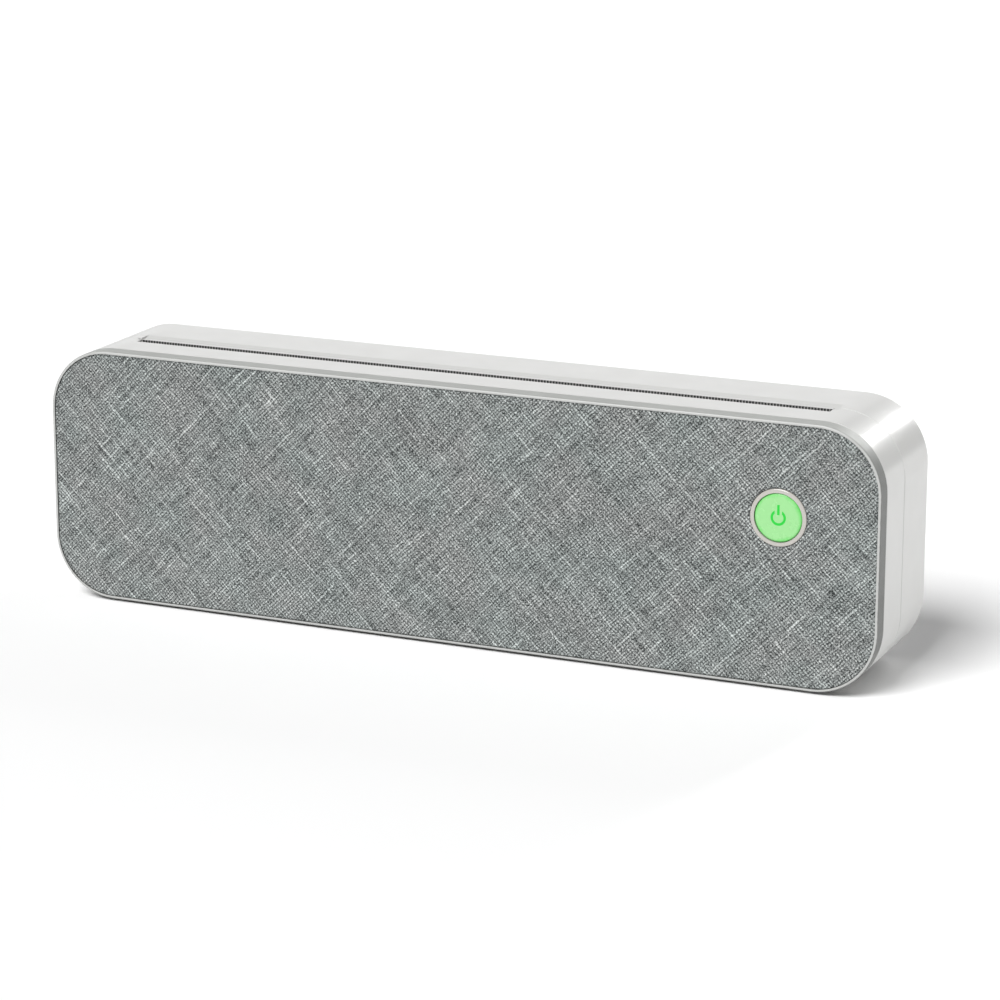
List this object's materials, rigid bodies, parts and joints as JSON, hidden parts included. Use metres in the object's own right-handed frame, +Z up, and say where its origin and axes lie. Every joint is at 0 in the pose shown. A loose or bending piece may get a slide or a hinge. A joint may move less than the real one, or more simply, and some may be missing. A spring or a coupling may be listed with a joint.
{
  "type": "portable thermal printer",
  "caption": "Rounded bar-shaped portable A4 thermal printer with cloth front, top paper slot, round green power button and a rear cover hinged at the bottom that carries the platen.",
  "frame": {"origin": "on the table, under the middle of the printer standing on its feet", "axes": "+X to the right seen from the cloth front, +Y from the cloth front to the back, +Z up"},
  "size_m": [0.255, 0.043, 0.0758],
  "materials": {
    "white_shell": "satin white moulded ABS",
    "grey_trim": "fine matte grey",
    "melange_cloth": "grey melange woven cloth",
    "clear_grey_bezel": "smoked grey, glossy",
    "green_lens": "translucent light green",
    "dark_green_mark": "printed dark green",
    "grey_slider": "fine matte grey",
    "inner_plastic": "dark grey moulding",
    "tear_bar_plastic": "light grey, satin",
    "foot_rubber": "matte black",
    "platen_rubber": "ground matte black",
    "pin_steel": "ground",
    "screw_steel": "black zinc",
    "spring_steel": "bright wire",
    "zinc_sheet": "zinc plated sheet",
    "motor_steel": "satin can",
    "socket_steel": "nickel",
    "shield_can": "tinned",
    "head_aluminium": "extruded",
    "head_ceramic": "fired ceramic",
    "head_glaze": "brown glaze",
    "latch_plastic": "black nylon",
    "bush_plastic": "natural acetal",
    "gear_plastic": "white acetal",
    "pinion_brass": "machined",
    "board_green": "green solder mask",
    "black_component": "black resin",
    "white_component": "natural nylon",
    "ribbon_amber": "polyimide film",
    "cell_pouch": "shrink film",
    "red_lead": "insulated wire"
  },
  "bodies": {
    "body": {"battery_cells": "cell_pouch", "battery_lead": "red_lead", "bay_ends": "inner_plastic", "bluetooth_module": "shield_can", "board_chips": "black_component", "board_connectors": "white_component", "board_screws": "screw_steel", "button_bezel": "clear_grey_bezel", "chassis_screws": "screw_steel", "cover_switch": "black_component", "fabric_cover": "melange_cloth", "feet": "foot_rubber", "frame_screws": "screw_steel", "front_housing": "white_shell", "front_panel": "inner_plastic", "gear_plate": "zinc_sheet", "gear_posts": "pin_steel", "gear_screws": "screw_steel", "head_bracket": "zinc_sheet", "head_ribbon": "ribbon_amber", "hinge_pins": "pin_steel", "main_board": "board_green", "motor_can": "motor_steel", "panel_screws": "screw_steel", "paper_sensor": "black_component", "reduction_stud": "pin_steel", "roll_trough": "inner_plastic", "side_frame_left": "zinc_sheet", "side_frame_right": "zinc_sheet", "switch_base": "black_component", "trim_ring": "grey_trim", "usb_board": "board_green", "usb_screws": "screw_steel", "usb_socket": "socket_steel"},
    "cover": {"rear_cover": "white_shell", "tear_bar": "tear_bar_plastic", "platen_bracket_left": "zinc_sheet", "platen_bracket_right": "zinc_sheet", "bracket_screws": "screw_steel", "platen_bushes": "bush_plastic"},
    "platen": {"platen_shaft": "pin_steel", "platen_rubber": "platen_rubber", "platen_gear": "gear_plastic"},
    "reduction": {"reduction_gear": "gear_plastic"},
    "rotor": {"motor_pinion": "pinion_brass"},
    "head": {"head_block": "head_aluminium", "head_substrate": "head_ceramic", "head_glaze": "head_glaze", "head_driver_strip": "black_component", "head_springs": "spring_steel"},
    "button": {"power_button": "green_lens", "button_mark": "dark_green_mark", "switch_stem": "white_component"},
    "release": {"release_slider": "grey_slider", "slider_clip": "inner_plastic"},
    "latch": {"latch_shaft": "pin_steel", "latch_hooks": "latch_plastic", "latch_crank": "latch_plastic"}
  },
  "joints": [
    {"name": "cover_hinge", "type": "hinge", "parent": "body", "child": "cover", "pos_m": [0, 0.0188, 0.0035], "axis": [-1, 0, 0], "range_deg": [0, 90]},
    {"name": "platen_spin", "type": "hinge", "parent": "cover", "child": "platen", "pos_m": [0, 0.003, 0.0618], "axis": [1, 0, 0], "continuous": true},
    {"name": "reduction_spin", "type": "hinge", "parent": "body", "child": "reduction", "pos_m": [-0.1136, -0.00739, 0.0558], "axis": [1, 0, 0], "continuous": true},
    {"name": "motor_spin", "type": "hinge", "parent": "body", "child": "rotor", "pos_m": [-0.1148, -0.00739, 0.0428], "axis": [1, 0, 0], "continuous": true},
    {"name": "head_pivot", "type": "hinge", "parent": "body", "child": "head", "pos_m": [0, -0.0071, 0.0505], "axis": [1, 0, 0], "range_deg": [0, 2.5], "stiffness_Nm_per_rad": 0.4, "springref_deg": -5.73, "deforming": ["head_springs"]},
    {"name": "button_press", "type": "slide", "parent": "body", "child": "button", "axis": [0, 1, 0], "range_m": [0, 0.0004], "stiffness_N_per_m": 900, "springref_m": -0.0003},
    {"name": "release_slide", "type": "slide", "parent": "body", "child": "release", "axis": [0, 1, 0], "range_m": [0, 0.00175], "stiffness_N_per_m": 300, "springref_m": -0.001},
    {"name": "latch_turn", "type": "hinge", "parent": "body", "child": "latch", "pos_m": [0, -0.0085, 0.0692], "axis": [1, 0, 0], "range_deg": [0, 6.9]}
  ],
  "couplings": [
    {"joint": "reduction_spin", "follows": "platen_spin", "ratio": -1.6667},
    {"joint": "motor_spin", "follows": "platen_spin", "ratio": 3.75},
    {"joint": "latch_turn", "follows": "release_slide", "rad_per_m": 68.027}
  ]
}
